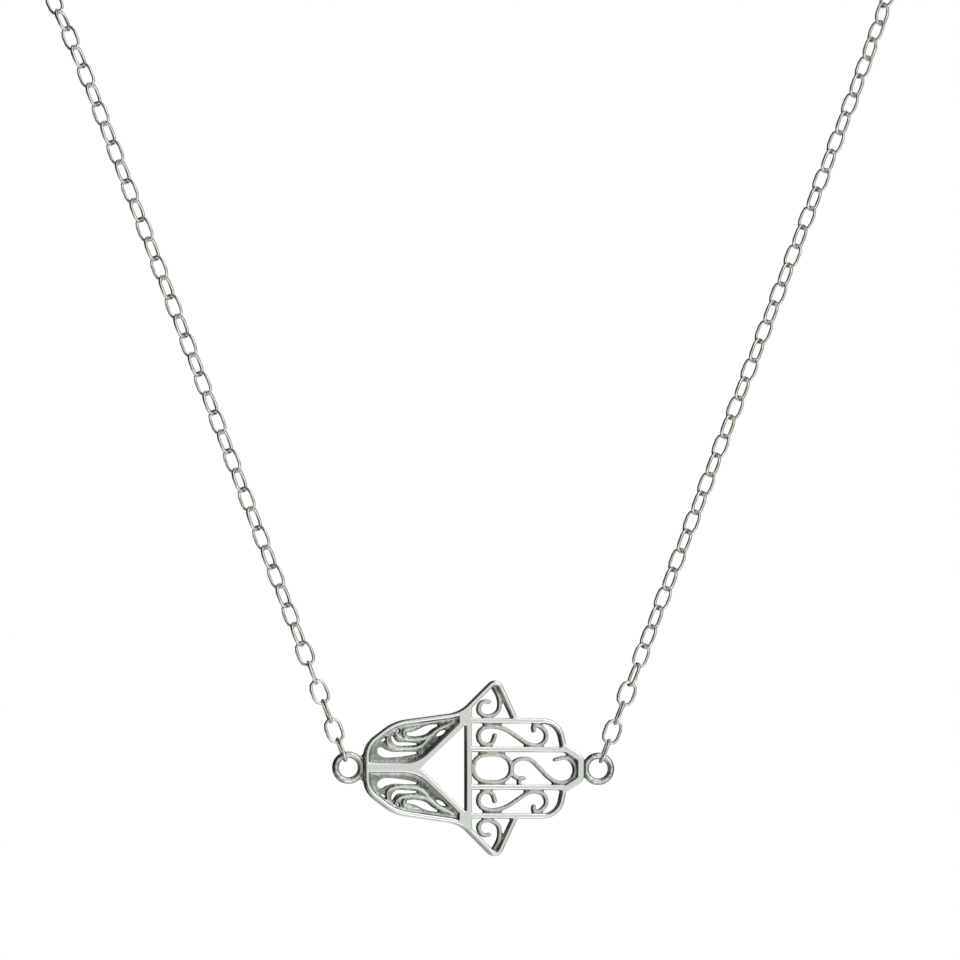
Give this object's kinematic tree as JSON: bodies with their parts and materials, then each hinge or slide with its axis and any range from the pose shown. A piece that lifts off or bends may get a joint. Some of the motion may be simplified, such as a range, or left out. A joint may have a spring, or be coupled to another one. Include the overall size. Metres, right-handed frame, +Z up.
{
  "type": "hamsa pendant necklace",
  "caption": "Closed fine cable-chain necklace with a sideways pierced hand-shaped plate, scrollwork between its bars, an end ring at each side and a small round clasp at the nape.",
  "frame": {"origin": "middle of the round clasp, where the necklace rests on the nape of the neck", "axes": "+X to the right as seen from the front, +Y from the pendant towards the nape, +Z up"},
  "size_m": [0.1112, 0.1004, 0.1306],
  "materials": {
    "polished_silver": "polished silver, cast and rhodium-bright, with duller recesses",
    "chain_silver": "polished silver wire, slightly greyer than the plate"
  },
  "bodies": {
    "root": {"hamsa": "polished_silver", "chain_left": "chain_silver", "chain_right": "chain_silver", "clasp": "polished_silver"}
  },
  "joints": []
}
